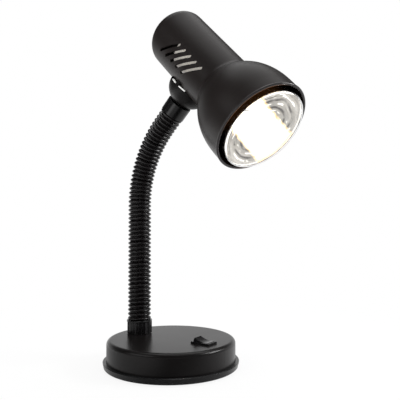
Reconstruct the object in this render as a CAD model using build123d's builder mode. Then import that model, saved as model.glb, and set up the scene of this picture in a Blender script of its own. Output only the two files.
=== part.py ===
# Table lamp: a heavy round base with a rocker switch, a flexible ribbed neck and a spun steel
# shade that holds a reflector bulb. Millimetres. The origin is the centre of the base on the
# surface that it stands on, +Z is up and +X points from the neck's foot to the switch.
import os
from math import asin, cos, degrees, pi, radians, sin, sqrt

from build123d import *

# Base, measured from the surface that the lamp stands on
cover_radius = 62.5
cover_top = 27.0
cover_wall = 0.8
cover_edge_radius = 4.2
pan_lip_overhang = 3.5
pan_foot_taper = 1.0
pan_top = 6.8
pan_bottom = 1.0
pan_floor = 2.0
pan_groove_depth = 2.6
pan_lip_edge = 0.6
pad_thickness = 1.7
pad_radius = 59.0
seat_gap = 0.15
slide_gap = 0.3

# Ballast, a cast disc on the pan's floor
ballast_radius = 58.5
ballast_thickness = 12.0
ballast_edge = 1.5
ballast_boss_radius = 15.0
pan_screw_ring_radius = 38.0
pan_screw_count = 3
pan_screw_start = 90.0
pan_screw_radius = 2.0
pan_screw_head_radius = 3.6
pan_screw_head_height = 2.2
pan_screw_length = 11.0
pan_screw_sink = 0.2
pan_screw_drive_length = 4.2
pan_screw_drive_width = 0.9
pan_screw_drive_depth = 1.0
pan_boss_radius = 5.8
pan_boss_height = 1.8
nut_pocket_depth = 8.0
lead_channel_width = 9.0
lead_channel_depth = 5.0

# Cord inlet in the rear wall of the cover
inlet_height = 14.0
inlet_hole_radius = 5.0
inlet_bore_radius = 3.2
inlet_flange_radius = 7.0
inlet_flange = 1.5
inlet_snap_radius = 5.7

# Terminal block for the leads
block_length = 20.0
block_width = 17.0
block_height = 10.5
block_corner = 1.2
block_pitch = 8.0
block_bore_radius = 2.0
block_bore_height = 4.0
block_screw_radius = 1.6
block_screw_pitch = 10.0
block_screw_sink = 1.0
block_screw_slot = 0.8
lead_count = 2
screws_per_lead = 2
window_gap = 1.5

# Rocker switch
switch_x = 38.6
bezel_length = 21.0
bezel_width = 15.0
bezel_height = 1.8
bezel_corner = 1.6
bezel_edge = 0.6
switch_body_length = 19.0
switch_body_width = 13.0
switch_body_depth = 12.5
rocker_length = 16.6
rocker_width = 10.4
rocker_pivot_depth = 1.4
rocker_rise = 3.4
rocker_depth = 5.2
rocker_throw = 11.0
rocker_waist = 2.0
rocker_well = 8.0
rocker_pin_radius = 1.0
rocker_pin_length = 0.9
terminal_width = 4.8
terminal_thickness = 0.8
terminal_length = 6.5
terminal_pitch = 9.5
terminal_root = 2.0
terminal_hole_radius = 0.8
terminal_hole_depth = 4.4

# Neck: a straight rise, one bend towards the front and a straight end
neck_x = -41.4
neck_rise = 128.8
neck_bend_radius = 114.5
neck_lean = 44.15
neck_end_reach = 8.785
rib_pitch = 4.21
rib_crest_radius = 11.15
rib_groove_radius = 9.8
rib_groove_width = 2.05
foot_rib_count = 5
stretch_rib_count = 5
end_rib_count = 2
stretch_count = 10
sleeve_start = 0.5
sleeve_bore_radius = 9.3
core_radius = 8.6
core_bore_radius = 5.4
core_lap = 2.6
core_gap = 3.1

# Collars and threaded tubes at the neck's two ends
collar_height = 13.5
collar_radius = 12.1
collar_lip_radius = 12.8
collar_lip_height = 2.2
collar_lip_flare = 0.6
collar_lip_round = 0.4
collar_gap = 0.25
collar_flutes = 20
collar_flute_radius = 1.1
collar_flute_depth = 0.35
upper_collar_length = 13.5
upper_collar_top = -3.0
upper_collar_foot_radius = 12.2
upper_collar_top_radius = 12.3
tube_radius = 5.0
tube_bore_radius = 3.9
tube_gap = 0.2
tube_spare = 1.5
spigot_length = 6.0
swivel_depth = 3.8
flange_radius = 8.9
flange_height = 2.5
nut_across_flats = 14.0
nut_sides = 6
nut_height = 3.0
washer_radius = 10.0
washer_thickness = 1.2

# Head, turned about the end of the neck from the plane of the neck's bend
head_turn = -7.67
head_offset = 39.6
mouth_reach = 96.0

# The bulb's face, and the room that the shade's bowl leaves round it for fingertips
bulb_radius = 40.0
bulb_room = 5.0

# Shade, spun from one sheet
shade_wall = 0.9
shade_tube_radius = 29.45
shade_length = 164.7
shade_dome_depth = 18.9
shade_dome_edge = 12.5
rim_overhang = 0.4
bowl_radius = bulb_radius + bulb_room
mouth_radius = bowl_radius + rim_overhang
skirt_length = 14.5
bowl_depth = 57.0
bowl_blend = 9.0
rim_bead_radius = 1.3
vent_count = 5
vent_first = -25.0
vent_pitch = 9.8
vent_height = -3.9
vent_length = 29.0
vent_width = 2.6
vent_slope = 41.0

# Saddle between the neck and the shade
saddle_radius = 21.0
saddle_depth = 18.5
saddle_rim = 14.0
saddle_floor = 4.0
saddle_wall = 1.8
saddle_lug_offset = 2.4
saddle_lug_width = 4.0
saddle_lug_height = 6.0
saddle_washer_radius = 15.0
saddle_washer_thickness = 1.5

# Lampholder and its bracket
bracket_width = 14.0
bracket_thickness = 1.5
bracket_bend_radius = 2.0
bracket_nose = 11.0
bracket_tip = 9.0
holder_radius = 19.0
holder_nose_radius = 17.6
holder_nose_length = 20.0
holder_mouth = 78.0
holder_length = 46.0
holder_base = 7.0
holder_edge = 1.0
shell_radius = 14.1
shell_wall = 0.4
shell_length = 30.0
shell_recess = 2.0
holder_tube_length = 12.0
contact_width = 6.0
contact_thickness = 0.6
contact_root = 10.0
contact_bend_radius = 1.0

# Reflector bulb, 80 mm across its face, with a 27 mm screw cap
bulb_length = 115.0
bulb_face_bulge = 6.3
bulb_proud = 2.0
bulb_shoulder = 3.6
bulb_glass_wall = 0.9
bulb_glass_lap = 3.0
bulb_taper_reach = 45.0
bulb_taper_radius = 25.0
bulb_neck_radius = 14.8
bulb_neck_length = 15.0
bulb_reflector_length = 62.0
cap_radius = 13.1
cap_length = 24.0
cap_tip_radius = 4.6
cap_insulator = 3.2
cap_tip_height = 0.8
cap_wall = 0.4
mirror_thickness = 0.4
mirror_clearance = 0.05
stem_radius = 3.2
stem_reach = 58.0
filament_reach = 28.0
filament_radius = 0.5
filament_span = 17.0
filament_wire_radius = 0.4

# Angles in degrees, and the steps that find where two curves touch
quarter_turn = 90.0
half_turn = 180.0
tangent_steps = 60


def save(piece, name):
    """Label a finished piece and write it under its name."""
    piece.part.label = name
    export_step(piece.part, f"parts/{name}.step")


def turned(side, axis, corners):
    """Turn a closed outline, drawn on the side plane, once about the axis."""
    with BuildPart() as piece:
        with BuildSketch(side):
            with BuildLine():
                Polyline(*corners, close=True)
            make_face()
        revolve(axis=axis)
    return piece


def ring(place, outer, inner, height):
    """A flat ring, or a tube, that rises from its plane."""
    with BuildPart() as piece:
        with BuildSketch(place):
            Circle(outer)
            Circle(inner, mode=Mode.SUBTRACT)
        extrude(amount=height)
    return piece


os.makedirs("parts", exist_ok=True)

# The neck's middle line lies in the plane y = 0 and is measured from the top of the cover
lean = radians(neck_lean)
neck_bend_end = neck_rise + neck_bend_radius * lean


def sleeve_hinge(number):
    """Distance along the neck of the hinge above the stretch of this number."""
    return sleeve_start + (foot_rib_count + stretch_rib_count * number) * rib_pitch


sleeve_end = sleeve_hinge(stretch_count) + end_rib_count * rib_pitch - rib_groove_width / 2
neck_length = sleeve_end + neck_end_reach


def neck_place(distance):
    """Plane square to the neck, its X axis along +Y all the way, at a distance along the neck."""
    turn = min(max((distance - neck_rise) / neck_bend_radius, 0), lean)
    rise = min(distance, neck_rise)
    run = max(distance - neck_bend_end, 0)
    x = neck_x + neck_bend_radius * (1 - cos(turn)) + run * sin(turn)
    z = cover_top + rise + neck_bend_radius * sin(turn) + run * cos(turn)
    return Plane(origin=(x, 0, z), x_dir=(0, 1, 0), z_dir=(sin(turn), 0, cos(turn)))


# Heights and places that several pieces share
pan_floor_top = pan_bottom + pan_floor
cover_foot = pan_top - pan_groove_depth
cover_underside = cover_top - cover_wall
neck_foot_side = Plane(origin=(neck_x, 0, 0), x_dir=(1, 0, 0), z_dir=(0, -1, 0))
neck_foot_axis = Axis((neck_x, 0, 0), (0, 0, 1))

# Base cover: a drawn steel drum, open below, with a rolled-over top edge
with BuildPart() as base_cover:
    with BuildSketch(Plane.XY.offset(cover_foot)):
        Circle(cover_radius)
    extrude(amount=cover_top - cover_foot)
    fillet(base_cover.edges().group_by(Axis.Z)[-1], cover_edge_radius)
    offset(amount=-cover_wall, openings=base_cover.faces().sort_by(Axis.Z)[0])
    with BuildSketch(Plane.XY.offset(cover_top)):
        with Locations((neck_x, 0)):
            Circle(tube_radius + tube_gap)
        with Locations((switch_x, 0)):
            Rectangle(switch_body_length + 2 * slide_gap, switch_body_width + 2 * slide_gap)
    extrude(amount=-2 * cover_wall, mode=Mode.SUBTRACT)
    with BuildSketch(Plane(origin=(-cover_radius, 0, inlet_height), z_dir=(-1, 0, 0))):
        Circle(inlet_hole_radius)
    extrude(amount=2 * cover_wall, both=True, mode=Mode.SUBTRACT)
save(base_cover, "base_cover")

# Base pan: a moulded tray with a groove for the cover's edge and a recess for the pad
pan_lip_radius = cover_radius + pan_lip_overhang
pan_foot_radius = pan_lip_radius - pan_foot_taper
with BuildPart() as base_pan:
    with BuildSketch(Plane.XZ):
        with BuildLine():
            Polyline(
                (0, pan_bottom),
                (pan_foot_radius - pan_lip_edge, pan_bottom),
                (pan_foot_radius, pan_bottom + pan_lip_edge),
                (pan_lip_radius, pan_top - pan_lip_edge),
                (pan_lip_radius - pan_lip_edge, pan_top),
                (ballast_radius + slide_gap, pan_top),
                (ballast_radius + slide_gap, pan_floor_top),
                (0, pan_floor_top),
                close=True,
            )
        make_face()
    revolve(axis=Axis.Z)
    with BuildSketch(Plane.XY.offset(pan_top)):
        Circle(cover_radius + seat_gap)
        Circle(cover_radius - cover_wall - seat_gap, mode=Mode.SUBTRACT)
    extrude(amount=-pan_groove_depth, mode=Mode.SUBTRACT)
    with BuildSketch(Plane.XY.offset(pan_bottom)):
        Circle(pad_radius + slide_gap)
    extrude(amount=pad_thickness - pan_bottom, mode=Mode.SUBTRACT)
    with BuildSketch(Plane.XY.offset(pan_bottom)):
        with PolarLocations(pan_screw_ring_radius, pan_screw_count, start_angle=pan_screw_start):
            Circle(pan_boss_radius)
    extrude(amount=pan_floor + pan_boss_height)
    with BuildSketch(Plane.XY.offset(pan_bottom)):
        with PolarLocations(pan_screw_ring_radius, pan_screw_count, start_angle=pan_screw_start):
            Circle(pan_screw_head_radius + slide_gap)
    extrude(amount=pan_screw_head_height + pan_screw_sink, mode=Mode.SUBTRACT)
    with BuildSketch(Plane.XY.offset(pan_bottom)):
        with PolarLocations(pan_screw_ring_radius, pan_screw_count, start_angle=pan_screw_start):
            Circle(pan_screw_radius + slide_gap)
    extrude(amount=pan_floor + pan_boss_height, mode=Mode.SUBTRACT)
save(base_pan, "base_pan")

# Pad: the soft disc that the lamp stands on, with a hole round each screw's boss
with BuildPart() as base_pad:
    with BuildSketch(Plane.XY):
        Circle(pad_radius)
        with PolarLocations(pan_screw_ring_radius, pan_screw_count, start_angle=pan_screw_start):
            Circle(pan_boss_radius + slide_gap, mode=Mode.SUBTRACT)
    extrude(amount=pad_thickness)
save(base_pad, "base_pad")

# Ballast: a cast disc with a boss under the neck, windows for the switch and the terminal block
# and a channel below for the leads
nut_seat = pan_floor_top + nut_pocket_depth
with BuildPart() as ballast:
    with BuildSketch(Plane.XY.offset(pan_floor_top)):
        Circle(ballast_radius)
    extrude(amount=ballast_thickness)
    fillet(ballast.edges().group_by(Axis.Z)[-1], ballast_edge)
    with BuildSketch(Plane.XY.offset(pan_floor_top)):
        with Locations((neck_x, 0)):
            Circle(ballast_boss_radius)
    extrude(amount=cover_underside - pan_floor_top)
    with BuildSketch(Plane.XY.offset(pan_floor_top)):
        with Locations((switch_x, 0)):
            Rectangle(switch_body_length + 2 * window_gap, switch_body_width + 2 * window_gap)
        Rectangle(block_length + 2 * slide_gap, block_width + 2 * slide_gap)
        with Locations((-ballast_radius, 0)):
            Rectangle(2 * inlet_bore_radius, lead_channel_width)
        with Locations((neck_x, 0)):
            Circle(tube_radius + tube_gap)
    extrude(amount=cover_top, mode=Mode.SUBTRACT)
    with BuildSketch(Plane.XY.offset(pan_floor_top)):
        with Locations((neck_x, 0)):
            Circle(washer_radius + window_gap)
    extrude(amount=nut_pocket_depth, mode=Mode.SUBTRACT)
    with BuildSketch(Plane.XY.offset(pan_floor_top)):
        with Locations(((switch_x - ballast_radius) / 2, 0)):
            Rectangle(switch_x + ballast_radius, lead_channel_width)
    extrude(amount=lead_channel_depth, mode=Mode.SUBTRACT)
    with BuildSketch(Plane.XY.offset(pan_floor_top)):
        with PolarLocations(pan_screw_ring_radius, pan_screw_count, start_angle=pan_screw_start):
            Circle(pan_boss_radius + slide_gap)
    extrude(amount=pan_boss_height, mode=Mode.SUBTRACT)
    with BuildSketch(Plane.XY.offset(pan_floor_top)):
        with PolarLocations(pan_screw_ring_radius, pan_screw_count, start_angle=pan_screw_start):
            Circle(pan_screw_radius)
    extrude(amount=pan_screw_length, mode=Mode.SUBTRACT)
save(ballast, "ballast")

# Screws that hold the pan to the ballast from below
screw_seat = pan_bottom + pan_screw_sink + pan_screw_head_height
with BuildPart() as pan_screws:
    with BuildSketch(Plane.XY.offset(screw_seat)):
        with PolarLocations(pan_screw_ring_radius, pan_screw_count, start_angle=pan_screw_start):
            Circle(pan_screw_head_radius)
    extrude(amount=-pan_screw_head_height)
    with BuildSketch(Plane.XY.offset(screw_seat)):
        with PolarLocations(pan_screw_ring_radius, pan_screw_count, start_angle=pan_screw_start):
            Circle(pan_screw_radius)
    extrude(amount=pan_screw_length - pan_screw_head_height)
    with BuildSketch(Plane.XY.offset(pan_bottom + pan_screw_sink)):
        with PolarLocations(pan_screw_ring_radius, pan_screw_count, start_angle=pan_screw_start):
            Rectangle(pan_screw_drive_length, pan_screw_drive_width)
            Rectangle(pan_screw_drive_width, pan_screw_drive_length)
    extrude(amount=pan_screw_drive_depth, mode=Mode.SUBTRACT)
save(pan_screws, "pan_screws")

# Cord inlet: a bush that snaps into the rear wall
inlet_side = Plane(origin=(-cover_radius, 0, inlet_height), x_dir=(-1, 0, 0), z_dir=(0, -1, 0))
inlet_barrel = inlet_hole_radius - seat_gap
cord_grommet = turned(
    inlet_side,
    Axis((-cover_radius, 0, inlet_height), (-1, 0, 0)),
    [
        (-cover_wall - 2 * inlet_flange, inlet_bore_radius),
        (inlet_flange, inlet_bore_radius),
        (inlet_flange, inlet_flange_radius - inlet_flange / 2),
        (inlet_flange / 2, inlet_flange_radius),
        (0, inlet_flange_radius),
        (0, inlet_barrel),
        (-cover_wall - seat_gap - slide_gap, inlet_barrel),
        (-cover_wall - seat_gap - slide_gap, inlet_snap_radius),
        (-cover_wall - 2 * inlet_flange, inlet_barrel - slide_gap),
    ],
)
save(cord_grommet, "cord_grommet")

# Lower collar: a fluted cup with a flared lip round the neck's foot
lip_foot = cover_top + collar_height - collar_lip_height
collar_bore = rib_crest_radius + collar_gap
with BuildPart() as lower_collar:
    with BuildSketch(neck_foot_side):
        with BuildLine():
            Polyline(
                (collar_bore, cover_top),
                (collar_radius, cover_top),
                (collar_radius, lip_foot),
                (collar_lip_radius, lip_foot + collar_lip_flare),
                (collar_lip_radius, cover_top + collar_height - collar_lip_round),
                (collar_lip_radius - collar_lip_round, cover_top + collar_height),
                (collar_bore, cover_top + collar_height),
                close=True,
            )
        make_face()
    revolve(axis=neck_foot_axis)
    with BuildSketch(Plane.XY.offset(cover_top)):
        with Locations((neck_x, 0)):
            with PolarLocations(collar_radius + collar_flute_radius - collar_flute_depth, collar_flutes):
                Circle(collar_flute_radius)
    extrude(amount=collar_height - collar_lip_height, mode=Mode.SUBTRACT)
save(lower_collar, "lower_collar")

# Lower ferrule: a flanged threaded tube that carries the neck's core, with its washer and nut
tube_foot = nut_seat - washer_thickness - nut_height - tube_spare
lower_ferrule = turned(
    neck_foot_side,
    neck_foot_axis,
    [
        (tube_bore_radius, tube_foot),
        (tube_radius, tube_foot),
        (tube_radius, cover_top),
        (flange_radius, cover_top),
        (flange_radius, cover_top + flange_height),
        (core_bore_radius - tube_gap, cover_top + flange_height),
        (core_bore_radius - tube_gap, cover_top + flange_height + spigot_length),
        (tube_bore_radius, cover_top + flange_height + spigot_length),
    ],
)
save(lower_ferrule, "lower_ferrule")

washer_place = Plane(origin=(neck_x, 0, nut_seat - washer_thickness))
lower_washer = ring(washer_place, washer_radius, tube_radius + tube_gap, washer_thickness)
save(lower_washer, "lower_washer")

with BuildPart() as lower_nut:
    with BuildSketch(washer_place):
        RegularPolygon(nut_across_flats / 2, nut_sides, major_radius=False)
        Circle(tube_radius + seat_gap, mode=Mode.SUBTRACT)
    extrude(amount=-nut_height)
save(lower_nut, "lower_nut")

# Terminal block and its screws, in the middle of the base
with BuildPart() as terminal_block:
    with BuildSketch(Plane.XY.offset(pan_floor_top)):
        RectangleRounded(block_length, block_width, block_corner)
    extrude(amount=block_height)
    with BuildSketch(Plane.YZ.offset(-block_length / 2)):
        with Locations((0, pan_floor_top + block_bore_height)):
            with GridLocations(block_pitch, 0, lead_count, 1):
                Circle(block_bore_radius)
    extrude(amount=block_length, mode=Mode.SUBTRACT)
    with BuildSketch(Plane.XY.offset(pan_floor_top + block_height)):
        with GridLocations(block_screw_pitch, block_pitch, screws_per_lead, lead_count):
            Circle(block_screw_radius + seat_gap)
    extrude(amount=block_bore_height - block_height, mode=Mode.SUBTRACT)
save(terminal_block, "terminal_block")

with BuildPart() as terminal_screws:
    with BuildSketch(Plane.XY.offset(pan_floor_top + block_bore_height)):
        with GridLocations(block_screw_pitch, block_pitch, screws_per_lead, lead_count):
            Circle(block_screw_radius)
    extrude(amount=block_height - block_bore_height - block_screw_sink)
    with BuildSketch(Plane.XY.offset(pan_floor_top + block_height - block_screw_sink)):
        with GridLocations(block_screw_pitch, block_pitch, screws_per_lead, lead_count):
            Rectangle(2 * block_screw_radius, block_screw_slot)
    extrude(amount=-block_screw_slot, mode=Mode.SUBTRACT)
save(terminal_screws, "terminal_screws")

# Rocker switch: the housing with its bezel, the rocker on its pivot and the blade terminals
bezel_top = cover_top + bezel_height
pivot_height = bezel_top - rocker_pivot_depth
rocker_radius = rocker_length / 2
rocker_foot = rocker_depth - rocker_pivot_depth
rocker_opening = rocker_width + 2 * slide_gap
switch_top = Plane(origin=(switch_x, 0, bezel_top))
with BuildPart() as switch_housing:
    with BuildSketch(switch_top):
        RectangleRounded(bezel_length, bezel_width, bezel_corner)
    extrude(amount=-bezel_height)
    chamfer(switch_housing.edges().group_by(Axis.Z)[-1], bezel_edge)
    with BuildSketch(Plane(origin=(switch_x, 0, cover_top))):
        Rectangle(switch_body_length, switch_body_width)
    extrude(amount=-switch_body_depth)
    with BuildSketch(switch_top):
        Rectangle(rocker_length + 2 * slide_gap, rocker_opening)
    extrude(amount=-rocker_well, mode=Mode.SUBTRACT)
    with BuildSketch(Plane(origin=(switch_x, 0, pivot_height), z_dir=(0, 1, 0))):
        Circle(rocker_pin_radius + seat_gap)
    extrude(amount=rocker_opening / 2 + rocker_pin_length, both=True, mode=Mode.SUBTRACT)
    with BuildSketch(Plane(origin=(switch_x, 0, cover_top - switch_body_depth))):
        with GridLocations(terminal_pitch, 0, lead_count, 1):
            Rectangle(terminal_thickness + 2 * seat_gap, terminal_width + 2 * seat_gap)
    extrude(amount=terminal_root, mode=Mode.SUBTRACT)
save(switch_housing, "switch_housing")

# The rocker is drawn level about its pivot and then lies with the end away from the neck down
rocker_tilt = Plane(origin=(switch_x, 0, pivot_height)).rotated((0, rocker_throw, 0))
rocker_side = Plane(origin=rocker_tilt.origin, x_dir=rocker_tilt.x_dir, z_dir=(0, -1, 0))
end_rise = rocker_rise + rocker_pivot_depth - rocker_radius * sin(radians(rocker_throw))
end_x = sqrt(rocker_radius**2 - end_rise**2)
foot_x = sqrt(rocker_radius**2 - rocker_foot**2)
with BuildPart() as switch_rocker:
    with BuildSketch(rocker_side):
        with BuildLine():
            ThreePointArc((-end_x, end_rise), (0, rocker_waist), (end_x, end_rise))
            ThreePointArc((end_x, end_rise), (rocker_radius, 0), (foot_x, -rocker_foot))
            Line((foot_x, -rocker_foot), (-foot_x, -rocker_foot))
            ThreePointArc((-foot_x, -rocker_foot), (-rocker_radius, 0), (-end_x, end_rise))
        make_face()
    extrude(amount=rocker_width / 2, both=True)
    with BuildSketch(rocker_side):
        Circle(rocker_pin_radius)
    extrude(amount=rocker_opening / 2 + rocker_pin_length - seat_gap, both=True)
save(switch_rocker, "switch_rocker")

with BuildPart() as switch_terminals:
    with BuildSketch(Plane(origin=(switch_x, 0, cover_top - switch_body_depth + terminal_root))):
        with GridLocations(terminal_pitch, 0, lead_count, 1):
            Rectangle(terminal_thickness, terminal_width)
    extrude(amount=-terminal_root - terminal_length)
    with BuildSketch(Plane(origin=(switch_x, 0, cover_top - switch_body_depth - terminal_hole_depth),
                           z_dir=(1, 0, 0))):
        Circle(terminal_hole_radius)
    extrude(amount=terminal_pitch, both=True, mode=Mode.SUBTRACT)
save(switch_terminals, "switch_terminals")


# Neck: a ribbed sleeve and, inside it, a steel core, in stretches that hinge on each other
def ribbed_sleeve(start, ribs):
    """Annular ribs with open V grooves round a bore, from the groove at start."""
    flank = rib_groove_width / 2
    with BuildPart() as sleeve:
        for rib in range(ribs):
            rib_foot = start + rib * rib_pitch
            if rib > 0:
                with BuildSketch(neck_place(rib_foot)):
                    Circle(rib_groove_radius)
            with BuildSketch(neck_place(rib_foot + flank)):
                Circle(rib_crest_radius)
            with BuildSketch(neck_place(rib_foot + rib_pitch - flank)):
                Circle(rib_crest_radius)
        loft(ruled=True)
        for rib in range(ribs + 1):
            with BuildSketch(neck_place(start + rib * rib_pitch)):
                Circle(sleeve_bore_radius)
        loft(ruled=True, mode=Mode.SUBTRACT)
    return sleeve


def straight_core(low, start_gap, high, end_lap):
    """A straight tube on the line from one place on the neck to another."""
    chord = neck_place(high).origin - neck_place(low).origin
    line = chord.normalized()
    foot = Plane(origin=neck_place(low).origin + line * start_gap, x_dir=(0, 1, 0), z_dir=line)
    return ring(foot, core_radius, core_bore_radius, chord.length - start_gap + end_lap)


save(ribbed_sleeve(sleeve_start, foot_rib_count), "neck_sleeve_foot")
save(straight_core(0, flange_height, sleeve_hinge(0), core_lap), "neck_core_foot")

flange_foot = seat_gap - neck_end_reach
for number in range(1, stretch_count):
    low = sleeve_hinge(number - 1)
    high = sleeve_hinge(number)
    save(ribbed_sleeve(low, stretch_rib_count), f"neck_sleeve_{number:02d}")
    save(straight_core(low, core_lap + core_gap, high, core_lap), f"neck_core_{number:02d}")
low = sleeve_hinge(stretch_count - 1)
top_rib_count = stretch_rib_count + end_rib_count
save(ribbed_sleeve(low, top_rib_count), f"neck_sleeve_{stretch_count:02d}")

# The neck's upper end: heights are measured along the neck from its end
neck_end = neck_place(neck_length)
end_core_foot = low + core_lap + core_gap - neck_length
end_core = ring(
    neck_end.offset(end_core_foot), core_radius, core_bore_radius, flange_foot - end_core_foot
)
save(end_core, f"neck_core_{stretch_count:02d}")
end_side = Plane(origin=neck_end.origin, x_dir=(0, 1, 0), z_dir=(cos(lean), 0, -sin(lean)))
end_axis = Axis(neck_end.origin, neck_end.z_dir)


def end_place(height):
    """Plane square to the neck's end at a height past it."""
    return neck_end.offset(height)


collar_foot = upper_collar_top - upper_collar_length
with BuildPart() as upper_collar:
    with BuildSketch(end_side):
        with BuildLine():
            Polyline(
                (collar_bore, collar_foot),
                (upper_collar_foot_radius, collar_foot),
                (upper_collar_top_radius, upper_collar_top - collar_lip_round),
                (upper_collar_top_radius - collar_lip_round, upper_collar_top),
                (flange_radius + seat_gap, upper_collar_top),
                (flange_radius + seat_gap, flange_foot),
                (collar_bore, flange_foot),
                close=True,
            )
        make_face()
    revolve(axis=end_axis)
save(upper_collar, "upper_collar")

swivel_floor = upper_collar_top - swivel_depth
upper_ferrule = turned(
    end_side,
    end_axis,
    [
        (tube_bore_radius, flange_foot - spigot_length),
        (core_bore_radius - tube_gap, flange_foot - spigot_length),
        (core_bore_radius - tube_gap, flange_foot),
        (flange_radius, flange_foot),
        (flange_radius, upper_collar_top),
        (tube_radius + slide_gap, upper_collar_top),
        (tube_radius + slide_gap, swivel_floor),
        (tube_bore_radius, swivel_floor),
    ],
)
save(upper_ferrule, "upper_ferrule")

# Head: its middle line is square to the neck's end and turned a little from the bend's plane
turn = radians(head_turn)
head_line = Vector(cos(turn) * cos(lean), sin(turn), -cos(turn) * sin(lean))
head_centre = neck_end.origin + neck_end.z_dir * head_offset
head_side = Plane(origin=head_centre, x_dir=head_line, z_dir=head_line.cross(neck_end.z_dir))
head_axis = Axis(head_centre, head_line)


def head_place(reach):
    """Plane square to the head's line at a reach towards the mouth, its X axis across."""
    return Plane(
        origin=head_centre + head_line * reach,
        x_dir=head_side.z_dir,
        z_dir=head_line,
    )


# Shade: a tube with a domed end that opens into a bowl, pressed from one sheet
skirt_start = mouth_reach - skirt_length
dome_start = mouth_reach - shade_length + shade_dome_depth


def crown_radius(depth, radius, edge):
    """Radius of a dome's crown, from its depth, its outer radius and the radius of its edge."""
    return (depth**2 + (radius - edge) ** 2 - edge**2) / (2 * (depth - edge))


def bowl_tangent(inset):
    """Angle on the bowl's ellipse where the blend into the tube touches it."""
    low, high = 0.0, pi / 2
    long, wide = bowl_depth - inset, bowl_radius - inset
    blend = bowl_blend + inset
    for step in range(tangent_steps):
        middle = (low + high) / 2
        slant = sqrt((wide * sin(middle)) ** 2 + (long * cos(middle)) ** 2)
        centre = wide * cos(middle) + blend * long * cos(middle) / slant
        if centre > shade_tube_radius - inset + blend:
            low = middle
        else:
            high = middle
    return low


def shade_line(inset):
    """The shade's outline from the mouth to the dome's tip, moved inwards by inset."""
    long, wide = bowl_depth - inset, bowl_radius - inset
    blend = bowl_blend + inset
    tube = shade_tube_radius - inset
    touch = bowl_tangent(inset)
    slant = sqrt((wide * sin(touch)) ** 2 + (long * cos(touch)) ** 2)
    start = (skirt_start - long * sin(touch), wide * cos(touch))
    blend_x = start[0] - blend * wide * sin(touch) / slant
    sweep_angle = degrees(asin(wide * sin(touch) / slant))
    Line((mouth_reach - rim_bead_radius, wide), (skirt_start, wide))
    EllipticalCenterArc((skirt_start, 0), long, wide, quarter_turn, arc_size=degrees(touch))
    CenterArc((blend_x, tube + blend), blend, -quarter_turn, sweep_angle)
    Line((blend_x, tube), (dome_start, tube))
    edge = shade_dome_edge - inset
    crown = crown_radius(shade_dome_depth - inset, tube, edge)
    half = degrees(asin((tube - edge) / (crown - edge)))
    CenterArc((dome_start, tube - edge), edge, quarter_turn, quarter_turn - half)
    crown_x = dome_start - shade_dome_depth + inset + crown
    CenterArc((crown_x, 0), crown, half_turn - half, half)


with BuildPart() as shade:
    with BuildSketch(head_side):
        with BuildLine():
            shade_line(0)
            shade_line(shade_wall)
            Line(
                (mouth_reach - rim_bead_radius, bowl_radius),
                (mouth_reach - rim_bead_radius, bowl_radius - shade_wall),
            )
            Line(
                (dome_start - shade_dome_depth, 0),
                (dome_start - shade_dome_depth + shade_wall, 0),
            )
        make_face()
        with Locations((mouth_reach - rim_bead_radius, mouth_radius - rim_bead_radius)):
            Circle(rim_bead_radius)
    revolve(axis=head_axis)
    with BuildSketch(head_side):
        for vent in range(vent_count):
            with Locations((vent_first + vent * vent_pitch, vent_height)):
                SlotOverall(vent_length, vent_width, rotation=vent_slope)
    extrude(amount=shade_tube_radius + vent_width, both=True, mode=Mode.SUBTRACT)
    with BuildSketch(neck_end):
        Circle(tube_radius + tube_gap)
    extrude(amount=head_offset, mode=Mode.SUBTRACT)
save(shade, "shade")

# Saddle: a moulded dish, flat below and open above, cut to the tube that it carries
saddle_base = upper_collar_top + slide_gap
dish_depth = saddle_depth - saddle_wall
with BuildPart() as saddle:
    with BuildSketch(end_side):
        with Locations((0, saddle_rim)):
            Ellipse(saddle_radius, saddle_depth)
        with Locations((saddle_radius, (saddle_rim + saddle_base) / 2)):
            Rectangle(2 * saddle_radius, saddle_rim - saddle_base, mode=Mode.INTERSECT)
    revolve(axis=end_axis)
    with BuildSketch(end_side):
        with Locations((0, saddle_rim)):
            Ellipse(saddle_radius - saddle_wall, dish_depth)
        with Locations((saddle_radius, (saddle_rim + saddle_floor) / 2)):
            Rectangle(2 * saddle_radius, saddle_rim - saddle_floor, mode=Mode.INTERSECT)
    revolve(axis=end_axis, mode=Mode.SUBTRACT)
    lug_across = sqrt((saddle_radius - saddle_wall / 2) ** 2 - saddle_lug_offset**2)
    with BuildSketch(Plane(origin=end_place(saddle_rim).origin, x_dir=head_line, z_dir=neck_end.z_dir)):
        with Locations((saddle_lug_offset, lug_across), (saddle_lug_offset, -lug_across)):
            Rectangle(saddle_lug_width, saddle_wall)
    extrude(amount=saddle_lug_height)
    with BuildSketch(neck_end):
        Circle(tube_radius + tube_gap)
    extrude(amount=saddle_rim, both=True, mode=Mode.SUBTRACT)
    with BuildSketch(head_side):
        with BuildLine():
            Polyline((0, 0), (saddle_radius, 0), (saddle_radius, shade_tube_radius + seat_gap),
                     (-saddle_radius, shade_tube_radius + seat_gap), (-saddle_radius, 0), close=True)
        make_face()
    revolve(axis=head_axis, mode=Mode.SUBTRACT)
save(saddle, "saddle")

# Washers, nuts and the threaded tube that join the saddle, the shade and the holder's bracket
bracket_sag = shade_tube_radius - shade_wall
bracket_seat = sqrt(bracket_sag**2 - (bracket_width / 2) ** 2) - seat_gap
bracket_top = bracket_seat - bracket_thickness
washer_seat = head_offset - bracket_top
saddle_washer = ring(
    end_place(saddle_floor), saddle_washer_radius, tube_radius + tube_gap, saddle_washer_thickness
)
save(saddle_washer, "saddle_washer")

shade_washer = ring(
    end_place(washer_seat), washer_radius, tube_radius + tube_gap, washer_thickness
)
save(shade_washer, "shade_washer")

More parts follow.
